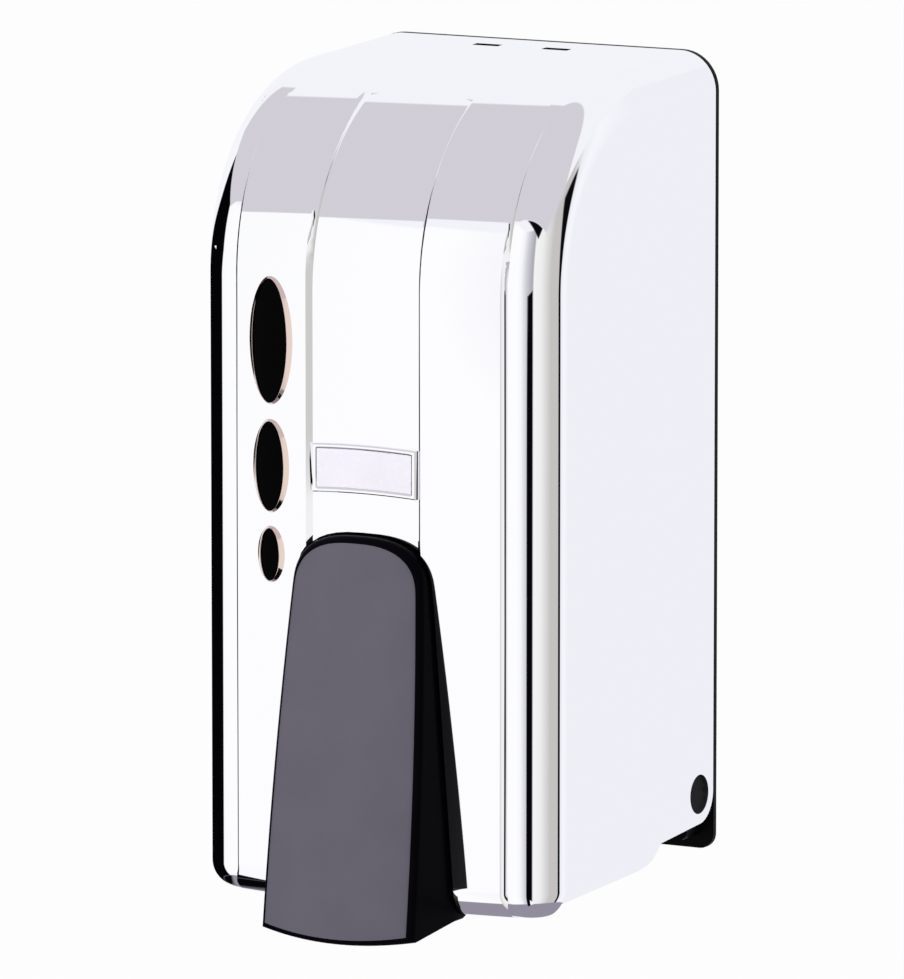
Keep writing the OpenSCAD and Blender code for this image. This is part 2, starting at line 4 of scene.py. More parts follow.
import bmesh
import bpy
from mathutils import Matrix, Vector


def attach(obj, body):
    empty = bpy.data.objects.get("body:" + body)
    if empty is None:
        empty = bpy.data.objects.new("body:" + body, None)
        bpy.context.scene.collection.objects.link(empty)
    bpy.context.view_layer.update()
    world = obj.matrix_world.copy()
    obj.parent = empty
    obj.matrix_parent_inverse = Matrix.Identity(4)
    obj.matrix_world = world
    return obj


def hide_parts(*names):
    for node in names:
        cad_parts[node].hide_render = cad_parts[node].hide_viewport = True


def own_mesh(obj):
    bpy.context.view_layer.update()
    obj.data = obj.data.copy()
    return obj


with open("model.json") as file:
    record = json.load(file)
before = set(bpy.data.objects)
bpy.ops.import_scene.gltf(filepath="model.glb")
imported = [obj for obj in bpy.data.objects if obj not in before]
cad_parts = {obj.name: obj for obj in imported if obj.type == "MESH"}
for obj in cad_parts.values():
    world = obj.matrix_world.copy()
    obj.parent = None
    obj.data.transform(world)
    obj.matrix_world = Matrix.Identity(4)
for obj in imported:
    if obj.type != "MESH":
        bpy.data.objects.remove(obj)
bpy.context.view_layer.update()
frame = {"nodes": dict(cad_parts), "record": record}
nodes = frame["nodes"]
record = frame["record"]
scene = bpy.context.scene
MM = 0.001
BODY_OF = {node: body for body, names in record["behaviour"]["bodies"].items() for node in names}

# How close places are to be joined, and the size of slivers that are taken out, in millimetres
JOIN, SLIVER = 0.002, 0.01

# Sizes of the cover in millimetres, as the part's source has them
HALF_W, FLAT_FRONT, COVER_DEPTH, COVER_FOOT = 50.0, 91.47, 95.0, -104.0
TOP_R, CORNER_R, FOOT_R, WALL = 50.0, 10.0, 7.0, 2.5
ARC_Y, ARC_Z, FOOT_Z = TOP_R - FLAT_FRONT, 53.0, COVER_FOOT + FOOT_R
TOP_SLOPE = math.radians(2.1909)
CROWN_R, BAND_RISE = 213.0, 1.2
CROWN_Y = CROWN_R - COVER_DEPTH
BAND_IN, BAND_OUT, STRIP_FRONT = 14.9, 38.6, 94.48
HINGE_Y, HINGE_Z, HOLE_R = -9.5, -84.4, 5.05
# How far the bands' edges fall back for each millimetre outward
INNER_LEAN, OUTER_LEAN = -0.8, 1.0
# How far below the arc's middle the curved tops of strip, bands, inner edges and inside start
STRIP_DROP, BAND_DROP, EDGE_DROP, INSIDE_DROP = 1.5, 0.6, 1.05, 4.0

# Cuts that make the cover's mesh finer: heights, steps round an upright corner, and degrees over the top
CUT_HEIGHTS = (-96, -93, -90, -60, -30, -5, 5, 15, 25, 35, 45)
CORNER_STEPS, CORNER_CUTS = 18, 15
ARC_STEP, ARC_CUTS = 2, 43
# How far off a surface a place still belongs to it, and from when it lies on it
NEAR_SURFACE, ON_SURFACE = 0.15, 0.001
# Cosines of the turn between a face and its surface, for the face and for its corners, and of the flat sides
FACE_FITS, CORNER_FITS, FLAT_SIDE = 0.9, 0.8, 0.99

# How steep the bands' rounded edges get at their foot
EDGE_STEEP = 3.2
# Turns in degrees of the edges that face right: inner, less beside the lever, and the coves at the corners
INNER_TURN, INNER_LESS, COVE_TURN, COVE_MORE = 53.0, 17.0, 8.0, 42.0
# Heights over which the bands' crown comes back above the lever, and depths over which it does at the foot
CROWN_HEIGHTS, CROWN_DEPTHS = (-5, ARC_Z - 3), (96, 97)
# Heights over which the inner edges take their full turn, and over which the edges round over at the top
TURN_HEIGHTS, ROUND_HEIGHTS = (-6, 12), (ARC_Z + 3, ARC_Z + 17)

# How far the top of the lever and of its cut-out lie below the solids' own
ARCH_DROP = 1.4
# The part of the cover round the arch of the cut-out: half width, front, and lowest and highest place
ARCH_ZONE_X, ARCH_ZONE_Y, ARCH_ZONE_LOW, ARCH_ZONE_HIGH = 21.5, -91.4, -22.5, -6.8

# The windows' place across and the front that they cut, then each oval's height, width and length
WINDOW_X, WINDOW_FRONT = -26.8, -80
WINDOWS = [(37.8, 13.2, 32.2), (6.2, 11.1, 23.5), (-16.1, 8.3, 14.2)]
# Points drawn round an oval
OVAL_POINTS = 128
# Share of the collars' width that is left at their upper and lower ends
COLLAR_END = 0.35
# Steps of a window's collar: place out from the oval, and in front of the bands
COLLAR_STEPS = [(0.05, -0.1), (-1.1, 0.8), (-1.19, 0.9), (-1.28, 0.94), (-1.37, 0.9), (-1.42, 0.8),
                (-1.42, -0.5)]
# Steps of the dome inside a collar: share of its size, and place in front of the bands
DOME_OUT = -1.4
DOME_STEPS = [(1, -3.4), (1, 0.72), (0.97, 0.82), (0.92, 0.87), (0.8, 0.92), (0.6, 0.98), (0.35, 1.02),
              (0.12, 1.04)]
# Gap between the front's inside and the lens's strip, and how far out from there a boss starts
LENS_GAP, BOSS_RISE = 0.2, 0.05

# Sizes of the bare plate, and steps across half of it
PLATE_Z, PLATE_H, PLATE_ARCH, PLATE_HALF, PLATE_STEPS = 7.3, 12.2, 204.0, BAND_IN - 0.3, 16
# Steps of the plate's frame: inset from its outline, and place in front of the strip
FRAME_STEPS = [(0, 0.05), (0, 0.6), (0.3, 0.92), (0.7, 0.95), (0.85, 0.9), (1.35, 0.45), (1.35, 0.05)]
# The plate's field inside the frame
FIELD_INSET, FIELD_RISE, FIELD_THICK = 1.3, 0.56, 0.4

# Sizes of the push lever
LEVER_TOP, LEVER_FOOT, LEVER_OUT, LEVER_HALF = -7.7 - ARCH_DROP, -110.0, 15.7, 21.6
LEVER_ROUND, LEVER_WALL, ARCH_H = 2.4, 2.6, 12.5
PIVOT_Y, PIVOT_Z = -87.0, -14.0
# The root's extra half width at the foot, and how much root and face taper
ROOT_MORE, ROOT_TAPER, FACE_TAPER = 3.6, 7.2, 4
# The power of the arch's curve, how its points crowd to the top, and the foot's bow
ARCH_POWER, ARCH_CROWD, FOOT_BOW = 2.6, 0.9, 2
# Steps up the straight sides and round the arch, and steps of half the foot
SIDE_STEPS, FOOT_STEPS = 24, 12
# How far the face stands out at the top, and its crown
TOP_STAND, FACE_CROWN = 2.7, 2
# Depths of the skirt's front and of the step behind it, and the step's length
SKIRT_FRONT, SKIRT_BEHIND, SKIRT_STEP = 1 - COVER_DEPTH, 4.7 - COVER_DEPTH, 0.8
# The skirt's rear edge behind the pivot at the foot, and how much further back it lies at the top
REAR_FOOT, REAR_MORE = 1, 5.5
# The skirt's widening, its lower and upper end, and the height over which it comes and goes
FLARE, FLARE_LOW, FLARE_HIGH, FLARE_EASE = 0.06, FOOT_Z - 1, PIVOT_Z - 8, 6
# How far root and rim start above the foot, and how far below the top they end
ROOT_UP, RIM_UP, ROOT_TRIM = 3.2, 4.4, 0.2
# Insets of the rings on the inside and on the face, from the middle outward and back, and the inside's depth
INSIDE_INSETS, FACE_INSETS = (20.5, 15, 9, LEVER_WALL), (3.4, 5, 7, 9, 11.5, 14, 17, 20.5)
INSIDE_DEPTH = LEVER_WALL + 0.1
# Steps round the face's edge, and the first of them that is grey; the black steps before it hold painted
# shade too
EDGE_STEPS, GREY_STEP = 9, 8
# The opening behind the foot: its size, and its middle behind the face's foot and above it
GAP_SIZE, GAP_BEHIND, GAP_UP = (34, 45.7, 16.6), 25.85, 1

# Sizes of the pump's spring, and the pump's stroke
PUMP_Z, COIL_R, WIRE_R, COIL_TURNS = -66.0, 9.0, 0.5, 4
COIL_REAR, COIL_FRONT, PUMP_STROKE = -68.2, -80.3, 8.17
TURN_STEPS, WIRE_SIDES = 36, 14

# Angles in the room that the shell mirrors go round the part, from the front to the right
DEGREE = math.radians(1)
# Heights in the room are sines of the rise
# Places on its ceiling are across and towards the rear, for a ceiling one unit up
# Stands for no limit on a side
OPEN = 9
# The board at the left: heights of its top, of its foot and of the bend in its front edge, then its edges
BOARD_TOP, BOARD_FOOT, BOARD_BEND = 0.46, -0.14, 0.04
BOARD_REAR, BOARD_LEAN, BOARD_CURVE = 95 * DEGREE, 41 * DEGREE, 3.0
BOARD_FRONT_LOW, BOARD_FRONT_HIGH = -59.5 * DEGREE, -55 * DEGREE
# The flag: its sides, the end and the heights of its slanted top, and its length
FLAG_LEFT, FLAG_RIGHT, FLAG_SOFT = 12 * DEGREE, 29 * DEGREE, 1.2 * DEGREE
SLANT_END, SLANT_LEFT, SLANT_RIGHT, FLAG_TALL = 30 * DEGREE, -0.145, -0.08, 0.72
# The doorway: heights between which its middle and its half width change, and the height of its top
DOOR_MIDDLE_LOW, DOOR_MIDDLE_HIGH, DOOR_MIDDLE = -0.05, 0.35, (112 * DEGREE, 105 * DEGREE)
DOOR_HALF_LOW, DOOR_HALF_HIGH, DOOR_HALF, DOOR_TOP = -0.1, 0.25, (4 * DEGREE, 9 * DEGREE), 0.34
# The grey panel and the batten on the ceiling: edges, and how much an edge is skewed
PANEL_FRONT, PANEL_REAR, PANEL_SKEW, PANEL_LEFT, PANEL_RIGHT = -1.5, 0.41, 0.15, -2.0, 2.3
BATTEN_REAR, BATTEN_FRONT, BATTEN_SKEW, BATTEN_LEFT, BATTEN_RIGHT = -1.52, -1.58, 0.35, -0.3, 1.55
# The ground: its height, how much it rises to the front, and where its black part ends
GROUND_TOP, GROUND_TILT, GROUND_LEFT = -0.66, -0.15, -0.54
# Strength of the room's plain light, and the floor's half size, height and share of plain white, in metres
ROOM_LIGHT, FLOOR_HALF, FLOOR_Z, FLOOR_WHITE = 0.25, 12, -0.25, 0.975
# The soft lamp: place, size and power
LAMP_PLACE, LAMP_SIZE, LAMP_POWER = (-0.7, -2.3, 0.7), 1.2, 42
# The camera: turn, rise, distance and aim, and its lens and sensor in millimetres
EYE_TURN, EYE_RISE, EYE_FAR = 28.391 * DEGREE, 9.085 * DEGREE, 2.7224
EYE_AIM, LENS_MM, SENSOR_MM = (-0.001755, -0.045949, -0.004761), 396.8, 36


def add(tree, kind, settings=None, links=None):
    """Adds one node, sets its options and sockets by name, and links other nodes' outputs to it."""
    node = tree.nodes.new("ShaderNode" + kind)
    for key, value in (settings or {}).items():
        if isinstance(value, bpy.types.NodeSocket):
            tree.links.new(value, node.inputs[key])
        elif isinstance(key, int) or key in node.inputs:
            node.inputs[key].default_value = value
        else:
            setattr(node, key, value)
    for key, output in (links or {}).items():
        tree.links.new(output, node.inputs[key])
    return node


def colour(hexed):
    """Turns an sRGB hex value into linear colour."""
    parts = [int(hexed[i:i + 2], 16) / 255 for i in (1, 3, 5)]
    return [*(c / 12.92 if c <= 0.04045 else ((c + 0.055) / 1.055) ** 2.4 for c in parts), 1.0]


def per_metre(size_mm):
    """Scale of a texture whose features are this many millimetres apart."""
    return 1 / (size_mm * MM)


def start(name):
    """A new material with its shader and its Object coordinates."""
    material = bpy.data.materials.new(name)
    material.use_nodes = True
    tree = material.node_tree
    shader = tree.nodes["Principled BSDF"]
    return material, tree, shader, add(tree, "TexCoord").outputs["Object"]


def plated_abs(name, tint):
    """Bright plating on polished ABS: a mirror with the faint waviness of the moulding below."""
    material, tree, shader, place = start(name)
    wave = add(tree, "TexNoise", {"Scale": per_metre(26), "Detail": 1.0}, {"Vector": place})
    haze = add(tree, "TexNoise", {"Scale": per_metre(3), "Detail": 3.0}, {"Vector": place})
    polish = add(tree, "MapRange", {"From Min": 0.45, "From Max": 0.8, "To Min": 0.01, "To Max": 0.05},
                 {"Value": haze.outputs["Fac"]})
    bump = add(tree, "Bump", {"Strength": 0.04, "Distance": 0.2 * MM}, {"Height": wave.outputs["Fac"]})
    shader.inputs["Base Color"].default_value = colour(tint)
    shader.inputs["Metallic"].default_value = 1.0
    tree.links.new(polish.outputs["Result"], shader.inputs["Roughness"])
    tree.links.new(bump.outputs["Normal"], shader.inputs["Normal"])
    return material


def unpolished_plating():
    # The same plating on the unpolished inside of the moulding: a dull silver with soft blotches
    material, tree, shader, place = start("unpolished_plating")
    cloud = add(tree, "TexNoise", {"Scale": per_metre(9), "Detail": 4.0}, {"Vector": place})
    tint = add(tree, "ValToRGB", None, {"Fac": cloud.outputs["Fac"]})
    tint.color_ramp.elements[0].position, tint.color_ramp.elements[0].color = 0.35, colour("#AEB0B4")
    tint.color_ramp.elements[1].position, tint.color_ramp.elements[1].color = 0.7, colour("#C6C8CB")
    grain = add(tree, "TexNoise", {"Scale": per_metre(0.5), "Detail": 2.0}, {"Vector": place})
    bump = add(tree, "Bump", {"Strength": 0.12, "Distance": 0.05 * MM}, {"Height": grain.outputs["Fac"]})
    shader.inputs["Metallic"].default_value = 1.0
    shader.inputs["Roughness"].default_value = 0.34
    tree.links.new(tint.outputs["Color"], shader.inputs["Base Color"])
    tree.links.new(bump.outputs["Normal"], shader.inputs["Normal"])
    return material


def moulded(name, dark, light, roughness, grain_mm, depth_mm, shine=0.5, subsurface=0.0):
    """A moulded plastic or rubber: two close shades in soft clouds, and the grain of its mould."""
    material, tree, shader, place = start(name)
    cloud = add(tree, "TexNoise", {"Scale": per_metre(14), "Detail": 3.0}, {"Vector": place})
    tint = add(tree, "ValToRGB", None, {"Fac": cloud.outputs["Fac"]})
    tint.color_ramp.elements[0].position, tint.color_ramp.elements[0].color = 0.3, colour(dark)
    tint.color_ramp.elements[1].position, tint.color_ramp.elements[1].color = 0.7, colour(light)
    grain = add(tree, "TexNoise", {"Scale": per_metre(grain_mm), "Detail": 2.0}, {"Vector": place})
    gloss = add(tree, "MapRange", {"From Min": 0.3, "From Max": 0.7, "To Min": roughness - 0.05,
                                   "To Max": roughness + 0.05}, {"Value": grain.outputs["Fac"]})
    bump = add(tree, "Bump", {"Strength": 0.35, "Distance": depth_mm * MM},
               {"Height": grain.outputs["Fac"]})
    shader.inputs["Specular IOR Level"].default_value = shine
    if subsurface:
        shader.inputs["Subsurface Weight"].default_value = subsurface
        shader.inputs["Subsurface Radius"].default_value = (3.0, 3.0, 2.6)
        shader.inputs["Subsurface Scale"].default_value = MM
    tree.links.new(tint.outputs["Color"], shader.inputs["Base Color"])
    tree.links.new(gloss.outputs["Result"], shader.inputs["Roughness"])
    tree.links.new(bump.outputs["Normal"], shader.inputs["Normal"])
    return material


def smoked_acrylic():
    # Smoked acrylic moulding: near black with a clear gloss and a trace of haze
    material, tree, shader, place = start("smoked_acrylic")
    haze = add(tree, "TexNoise", {"Scale": per_metre(6), "Detail": 3.0}, {"Vector": place})
    gloss = add(tree, "MapRange", {"To Min": 0.03, "To Max": 0.11}, {"Value": haze.outputs["Fac"]})
    tint = add(tree, "ValToRGB", None, {"Fac": haze.outputs["Fac"]})
    tint.color_ramp.elements[0].color = colour("#010102")
    tint.color_ramp.elements[1].color = colour("#020203")
    shader.inputs["IOR"].default_value = 1.49
    shader.inputs["Specular IOR Level"].default_value = 0.02
    tree.links.new(tint.outputs["Color"], shader.inputs["Base Color"])
    tree.links.new(gloss.outputs["Result"], shader.inputs["Roughness"])
    return material


def drawn_steel():
    # Bright drawn stainless wire and bar: fine drawing lines along X and a soft shine
    material, tree, shader, place = start("drawn_stainless_steel")
    along = add(tree, "Mapping", {"Scale": (per_metre(8), per_metre(0.25), per_metre(0.25))},
                {"Vector": place})
    lines = add(tree, "TexNoise", {"Scale": 1.0, "Detail": 2.0}, {"Vector": along.outputs["Vector"]})
    gloss = add(tree, "MapRange", {"From Min": 0.3, "From Max": 0.7, "To Min": 0.16, "To Max": 0.34},
                {"Value": lines.outputs["Fac"]})
    bump = add(tree, "Bump", {"Strength": 0.2, "Distance": 0.02 * MM}, {"Height": lines.outputs["Fac"]})
    shader.inputs["Base Color"].default_value = colour("#C9CACC")
    shader.inputs["Metallic"].default_value = 1.0
    tree.links.new(gloss.outputs["Result"], shader.inputs["Roughness"])
    tree.links.new(bump.outputs["Normal"], shader.inputs["Normal"])
    return material


# Chromium plating: a cold, almost colourless mirror
CHROME = plated_abs("chrome_plated_abs", "#FDFDFF")
# Plating of the windows' collars: the same mirror tinted warm and faintly coppery, a painted warm reflection
# round the windows
WARM_REFLECTION_PLATING = plated_abs("plating_with_painted_warm_reflection", "#F3DFD5")
DULL_CHROME = unpolished_plating()
SMOKED = smoked_acrylic()
STEEL = drawn_steel()
# Satin ABS from a spark-eroded mould: an even dark grey with a fine grain that softens its shine
LEVER_ABS = moulded("satin_grey_abs", "#5D5A66", "#615E6A",
                    roughness=0.42, grain_mm=0.5, depth_mm=0.02, shine=0.3)
# The same ABS in black round the grey face: a deep blue-black with little shine, partly the moulding's own
# black and partly painted shade on the side walls and rounded edge that turn from the light
LEVER_BLACK_AND_SHADE = moulded("blue_black_abs_and_painted_shade", "#06060A", "#09090E",
                      roughness=0.35, grain_mm=0.6, depth_mm=0.02, shine=0.015)
# Black ABS from a fine-textured mould: deep black that greys a little where light grazes it
BLACK_ABS = moulded("moulded_black_abs", "#0A0A0D", "#101014",
                    roughness=0.4, grain_mm=0.6, depth_mm=0.03, shine=0.04)
# Blown and moulded polyethylene: milky, waxy, and a little light passes into it
MILKY_PE = moulded("milky_polyethylene", "#DEE2DF", "#E8EBE7",
                   roughness=0.42, grain_mm=1.2, depth_mm=0.03, subsurface=0.35)
# Glossy white polypropylene of pump mouldings: clean white with soft highlights
WHITE_PP = moulded("moulded_white_polypropylene", "#E4E4E1", "#EDEDEA",
                   roughness=0.3, grain_mm=0.8, depth_mm=0.02, subsurface=0.12)
# Nitrile rubber: dull black with the bloom of its filler
RUBBER = moulded("moulded_nitrile_rubber", "#18181A", "#242427",
                 roughness=0.68, grain_mm=0.4, depth_mm=0.03)
# White satin lacquer of the bare plate's field, with a lavender cast
LACQUER = moulded("white_satin_lacquer", "#EEEBF6", "#F3F0F9",
                  roughness=0.24, grain_mm=1.0, depth_mm=0.006)


def hang(mesh, name, materials, stands_for, body=None):
    """Makes an object of a mesh, with its finishes, its body and the CAD nodes that it stands for."""
    for material in materials:
        mesh.materials.append(material)
    piece = bpy.data.objects.new(name, mesh)
    scene.collection.objects.link(piece)
    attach(piece, body or BODY_OF[stands_for[0]])
    if stands_for:
        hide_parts(*stands_for)
    return piece


def smooth_mesh(bm, name, sharp=35):
    """Turns a bmesh into a mesh that is smooth but for its sharp edges."""
    mesh = bpy.data.meshes.new(name)
    bm.to_mesh(mesh)
    bm.free()
    mesh.shade_smooth()
    mesh.set_sharp_from_angle(angle=math.radians(sharp))
    return mesh


def merged(node):
    """A copy of a CAD node's mesh with its loose triangles joined."""
    bm = bmesh.new()
    bm.from_mesh(nodes[node].data)
    bmesh.ops.remove_doubles(bm, verts=bm.verts, dist=JOIN * MM)
    return bm


def edges_round(bm, ring):
    """The edges of a closed ring of vertices."""
    return [bm.edges.get(pair) for pair in zip(ring, ring[1:] + ring[:1])]


def lofted(rings, closed, finishes=()):
    """A skin through rings of places in millimetres, each extruded from the one before.

    The last ring joins the first where the skin is a closed tube, or else both ends are filled.
    The finishes give the material's number of the faces behind each ring.
    """
    bm = bmesh.new()
    first = ring = bmesh.ops.create_circle(bm, segments=len(rings[0]), radius=MM)["verts"]
    for count, places in enumerate(rings):
        if count:
            old = set(bm.edges)
            drawn = bmesh.ops.extrude_edge_only(bm, edges=edges_round(bm, ring))["geom"]
            for face in (part for part in drawn if isinstance(part, bmesh.types.BMFace)):
                face.material_index = finishes[count] if finishes else 0
            ring = [next(e.other_vert(v) for e in v.link_edges if e not in old) for v in ring]
        for vert, place in zip(ring, places):
            vert.co = Vector(place) * MM
    if closed:
        bmesh.ops.bridge_loops(bm, edges=edges_round(bm, first) + edges_round(bm, ring))
    else:
        for end in (first, ring):
            bmesh.ops.edgeloop_fill(bm, edges=edges_round(bm, end))
    bmesh.ops.recalc_face_normals(bm, faces=bm.faces)
    return bm


def crown_y(x, rise):
    """Place of the crowned front at a distance from the middle, this far in front of the crown."""
    return CROWN_Y - math.sqrt((CROWN_R + rise) ** 2 - x * x)


def swept_way(p):
    """How far a point in millimetres lies outside the swept shell, and the way out from it."""
    side = math.copysign(max(abs(p.x) - HALF_W + CORNER_R, 0), p.x)
    if p.z > ARC_Z:
        back, up = p.y - ARC_Y, p.z - ARC_Z
        if math.atan2(up, -back) < math.pi / 2 - TOP_SLOPE:
            reach = math.hypot(back, up)
            out = (back / reach, up / reach)
        else:
            out = (-math.sin(TOP_SLOPE), math.cos(TOP_SLOPE))
            reach = back * out[0] + up * out[1]
        depth = max(reach - TOP_R + CORNER_R, 0)
        way = Vector((side, depth * out[0], depth * out[1]))
        return way.length - CORNER_R, way.normalized()
    plan = Vector((side, -max(CORNER_R - FLAT_FRONT - p.y, 0), 0))
    if p.z > FOOT_Z:
        return plan.length - CORNER_R, plan.normalized()
    turn = plan.normalized() * max(plan.length - CORNER_R + FOOT_R, 0) + Vector((0, 0, p.z - FOOT_Z))
    return turn.length - FOOT_R, turn.normalized()


def crowned_way(p, rise, drop):
    """How far a point lies outside a crowned surface, and the way out from it."""
    ray = Vector((p.x, p.y - CROWN_Y, 0))
    far = ray.length - CROWN_R - rise
    ray.normalize()
    if p.z > ARC_Z - drop:
        out = ray * (far + TOP_R) + Vector((0, 0, p.z - ARC_Z + drop))
        return out.length - TOP_R, out.normalized()
    if p.z < FOOT_Z:
        out = ray * (far + FOOT_R) + Vector((0, 0, p.z - FOOT_Z))
        return out.length - FOOT_R, out.normalized()
    return far, ray


def edge_way(p, axis_y, axis_z, place, lean):
    """How far a point lies outside a band's sloped edge, and the way out from it."""
    back, up = p.y - axis_y, max(p.z - axis_z, 0)
    reach = math.hypot(back, up)
    off = (reach - TOP_R + lean * (abs(p.x) - place)) / math.hypot(1, lean)
    return off, Vector((lean * math.copysign(1, p.x), back / reach, up / reach)).normalized()


def window_way(p, window):
    """How far a point lies from the wall of a window's oval hole, and the way into the hole."""
    height, width, tall = window
    across, up = (p.x - WINDOW_X) / (width / 2), (p.z - height) / (tall / 2)
    far = (math.hypot(across, up) - 1) * width / 2 if p.y < WINDOW_FRONT else width
    return far, -Vector((across / width, 0, up / tall)).normalized()


def hole_way(p):
    """How far a point lies from the wall of a hinge hole, and the way into the hole."""
    reach = Vector((0, p.y - HINGE_Y, p.z - HINGE_Z))
    return reach.length - HOLE_R, -reach.normalized()


def turned(found):
    """The same surface seen from its other side."""
    return found[0], -found[1]


# Each surface of the cover: how far off it a point lies, and its true normal there
COVER_SURFACES = {
    "outside": swept_way,
    "dull inside": lambda p: turned((swept_way(p)[0] + WALL, swept_way(p)[1])),
    "strip": lambda p: crowned_way(p, 0, STRIP_DROP),
    "band": lambda p: crowned_way(p, BAND_RISE, BAND_DROP),
    "dull front": lambda p: turned(crowned_way(p, -WALL, INSIDE_DROP)),
    "edge in": lambda p: edge_way(p, TOP_R - STRIP_FRONT, ARC_Z - EDGE_DROP, BAND_IN, INNER_LEAN),
    "edge out": lambda p: edge_way(p, ARC_Y, ARC_Z, BAND_OUT, OUTER_LEAN),
    "upper window": lambda p: window_way(p, WINDOWS[0]),
    "middle window": lambda p: window_way(p, WINDOWS[1]),
    "lower window": lambda p: window_way(p, WINDOWS[2]),
    "hinge hole": hole_way,
}


def eased(value, low, high):
    """A share from 0 to 1 that starts and ends gently."""
    share = min(max((value - low) / (high - low), 0), 1)
    return share * share * (3 - 2 * share)


def band_way(p, way):
    """The bands' normal: crowned at the top and the foot, and straight across beside the lever."""
    crown = max(eased(p.z, *CROWN_HEIGHTS), eased(-p.z, *CROWN_DEPTHS))
    return Vector((way.x * crown, way.y, way.z)).normalized()


def cover_shading(p, pick, way):
    """The normal that the eye sees: a softer crown, and edges rounded over from band to foot."""
    if pick in ("strip", "band"):
        return band_way(p, way)
    if not pick.startswith("edge"):
        return way
    foot = crowned_way(p, 0, STRIP_DROP)[0] if pick == "edge in" else swept_way(p)[0]
    below, top = crowned_way(p, BAND_RISE, BAND_DROP)
    share = min(max(foot / max(foot - below, SLIVER), 0), 1)
    if way.x > 0:
        inner = INNER_TURN - INNER_LESS * (1 - eased(p.z, *TURN_HEIGHTS))
        turn = math.radians(inner if pick == "edge in" else COVE_TURN + COVE_MORE * share)
        plain = Vector((math.sin(turn), 0, 0)) + Vector((0, way.y, way.z)).normalized() * math.cos(turn)
        over = eased(p.z, *ROUND_HEIGHTS)
    else:
        plain, over = way, 1
    steep = Vector((way.x * EDGE_STEEP, way.y, way.z)).normalized()
    rounded = (steep * (1 - share) + band_way(p, top) * share).normalized()
    return (rounded * over + plain * (1 - over)).normalized()


def cut_finer(bm):
    """Cuts the cover's long triangles, so that normals turn evenly, and sets the cuts on the true surface."""
    planes = [((0, 0, height), (0, 0, 1)) for height in CUT_HEIGHTS]
    for step in range(1, CORNER_CUTS + 1):
        out = HALF_W - CORNER_R + CORNER_R * math.sin(math.pi / 2 * step / CORNER_STEPS)
        planes += [((side * out, 0, 0), (1, 0, 0)) for side in (-1, 1)]
    for place, normal in planes:
        geom = bm.verts[:] + bm.edges[:] + bm.faces[:]
        bmesh.ops.bisect_plane(bm, geom=geom, plane_co=Vector(place) * MM, plane_no=normal)
    bm.normal_update()
    for step in range(1, ARC_CUTS + 1):
        turn = math.radians(ARC_STEP * step)
        upper = [f for f in bm.faces
                 if f.calc_center_median().z > ARC_Z * MM and abs(f.normal.x) < FLAT_SIDE]
        geom = upper + list(dict.fromkeys(e for f in upper for e in f.edges))
        geom += list(dict.fromkeys(v for f in upper for v in f.verts))
        bmesh.ops.bisect_plane(bm, geom=geom, plane_co=Vector((0, ARC_Y, ARC_Z)) * MM,
                               plane_no=(0, math.sin(turn), math.cos(turn)))
    bmesh.ops.dissolve_degenerate(bm, dist=SLIVER * MM, edges=bm.edges)
    for vert in bm.verts:
        off, way = swept_way(vert.co / MM)
        if -NEAR_SURFACE < off < -ON_SURFACE:
            vert.co -= way * off * MM


def cover_shell():
    """The chrome cover: a copy of the CAD node's mesh with the true normals of its curved surfaces."""
    bm = merged("cover")
    cut_finer(bm)
    for vert in bm.verts:
        x, y, z = vert.co / MM
        if abs(x) < ARCH_ZONE_X and y < ARCH_ZONE_Y and ARCH_ZONE_LOW < z < ARCH_ZONE_HIGH:
            vert.co.z -= ARCH_DROP * MM
    bm.normal_update()
    normals = []
    for face in bm.faces:
        centre = face.calc_center_median() / MM
        found = [(key, *surface(centre)) for key, surface in COVER_SURFACES.items()]
        near = [(abs(off), key) for key, off, way in found
                if abs(off) < NEAR_SURFACE and way.dot(face.normal) > FACE_FITS]
        pick = min(near)[1] if near else ""
        face.material_index = 1 if pick.startswith("dull") else 0
        for loop in face.loops:
            place = loop.vert.co / MM
            way = COVER_SURFACES[pick](place)[1] if pick else face.normal
            fits = way.dot(face.normal) > CORNER_FITS
            normals.append(tuple(cover_shading(place, pick, way) if fits else face.normal))
    mesh = bpy.data.meshes.new("cover_shell")
    bm.to_mesh(mesh)
    bm.free()
    mesh.shade_smooth()
    mesh.normals_split_custom_set(normals)
    hang(mesh, "cover_shell", [CHROME, DULL_CHROME], ["cover"])


def oval_ring(window, out, rise, share=1):
    """A ring round a window's oval, this far out and in front of the bands, or a share of that size."""
    height, width, tall = window
    ring = []
    for step in range(OVAL_POINTS):
        turn = math.tau * step / OVAL_POINTS
        x = WINDOW_X + (width / 2 + out) * math.cos(turn) * share
        z = height + (tall / 2 + out * COLLAR_END) * math.sin(turn) * share
        ring.append((x, crown_y(x, BAND_RISE + rise), z))
    return ring


def window_trim(number, window):
    """A plated collar with a sloped outer face round a window, tinted as painted warm reflection, and the
    smoked lens that fills it.
    """
    collar = lofted([oval_ring(window, out, rise) for out, rise in COLLAR_STEPS], True)
    name = f"window_collar_{number}"
    # The collar's warm tint is a painted reflection
    hang(smooth_mesh(collar, name, sharp=30), name, [WARM_REFLECTION_PLATING], [], "cover_unit")
    dome = lofted([oval_ring(window, DOME_OUT, rise, share) for share, rise in DOME_STEPS], False)
    name = f"window_dome_{number}"
    hang(smooth_mesh(dome, name, sharp=40), name, [SMOKED], [], "cover_unit")


def lens_strip():
    """The lens's strip behind the front, without the bosses that the domes take the place of."""
    bm = merged("window_lens")
    rise = -WALL - LENS_GAP
    bosses = [f for f in bm.faces
              if crowned_way(f.calc_center_median() / MM, rise, INSIDE_DROP)[0] > BOSS_RISE]
    bmesh.ops.delete(bm, geom=bosses, context="FACES")
    bmesh.ops.holes_fill(bm, edges=[e for e in bm.edges if e.is_boundary], sides=0)
    hang(smooth_mesh(bm, "lens_strip"), "lens_strip", [SMOKED], ["window_lens"])


